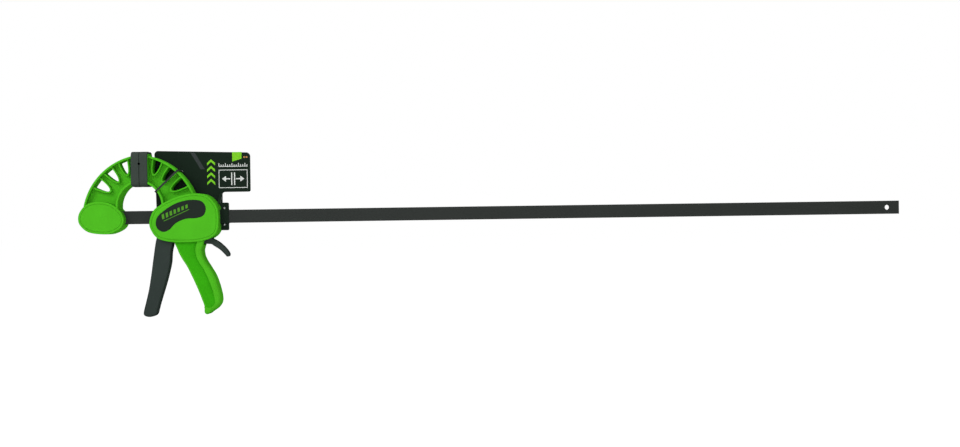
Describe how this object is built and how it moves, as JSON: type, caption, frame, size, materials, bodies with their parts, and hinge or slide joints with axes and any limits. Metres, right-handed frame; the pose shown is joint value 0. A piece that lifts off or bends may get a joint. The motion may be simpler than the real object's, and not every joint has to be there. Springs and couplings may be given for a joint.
{
  "type": "quick release bar clamp",
  "caption": "One-handed bar clamp: a fixed head pinned to a flat steel bar, and a sliding jaw with a pistol grip, a trigger, a release lever and soft pads.",
  "frame": {"origin": "on the bar's centre line, in the clamping plane of the fixed pad, midway between front and back", "axes": "+X along the bar from the fixed jaw to the far end, +Z from the bar up to the pads, +Y from the front side to the back, where the card hangs"},
  "size_m": [1.1238, 0.042, 0.2284],
  "materials": {
    "green_plastic": "satin moulded glass-filled nylon",
    "charcoal_plastic": "satin moulded nylon",
    "soft_pad": "matt thermoplastic rubber",
    "black_inlay": "satin",
    "bar_steel": "satin black coating",
    "bright_steel": "zinc plated",
    "spring_steel": "drawn wire",
    "printed_card": "printed board with a thin coat",
    "black_nylon": "satin"
  },
  "bodies": {
    "bar_and_head": {"bar": "bar_steel", "jaw_pin": "bright_steel", "fixed_jaw": "green_plastic", "fixed_front_cap": "green_plastic", "fixed_rear_cap": "green_plastic", "fixed_pad": "soft_pad"},
    "sliding_jaw": {"moving_jaw": "green_plastic", "front_cap": "green_plastic", "rear_cap": "green_plastic", "front_inlay": "black_inlay", "rear_inlay": "black_inlay", "moving_pad": "soft_pad", "trigger_pin": "bright_steel", "release_pin": "bright_steel", "drive_spring": "spring_steel", "brake_spring": "spring_steel", "hang_card": "printed_card", "card_tie": "black_nylon", "card_rivets": "bright_steel"},
    "trigger_body": {"trigger": "charcoal_plastic"},
    "drive_body": {"drive_plates": "bright_steel"},
    "release_body": {"release_lever": "charcoal_plastic"},
    "brake_body": {"brake_plate": "bright_steel"}
  },
  "joints": [
    {"name": "jaw_slide", "type": "slide", "parent": "bar_and_head", "child": "sliding_jaw", "axis": [1, 0, 0], "range_m": [0, 0.914]},
    {"name": "trigger_pull", "type": "hinge", "parent": "sliding_jaw", "child": "trigger_body", "pos_m": [0.039, 0, 0.0135], "axis": [0, -1, 0], "range_deg": [0, 18], "stiffness_Nm_per_rad": 1.2, "springref_deg": -14.32},
    {"name": "drive_stroke", "type": "slide", "parent": "sliding_jaw", "child": "drive_body", "axis": [1, 0, 0], "range_m": [0, 0.0084], "deforming": ["drive_spring"]},
    {"name": "release_press", "type": "hinge", "parent": "sliding_jaw", "child": "release_body", "pos_m": [0.09, 0, -0.025], "axis": [0, 1, 0], "range_deg": [0, 14], "stiffness_Nm_per_rad": 0.6, "springref_deg": -14.32},
    {"name": "brake_tilt", "type": "hinge", "parent": "sliding_jaw", "child": "brake_body", "pos_m": [0.0855, 0, 0.014], "axis": [0, -1, 0], "range_deg": [0, 5], "deforming": ["brake_spring"]}
  ],
  "couplings": [
    {"joint": "drive_stroke", "follows": "trigger_pull", "m_per_rad": 0.02642},
    {"joint": "brake_tilt", "follows": "release_press", "ratio": 0.35}
  ]
}
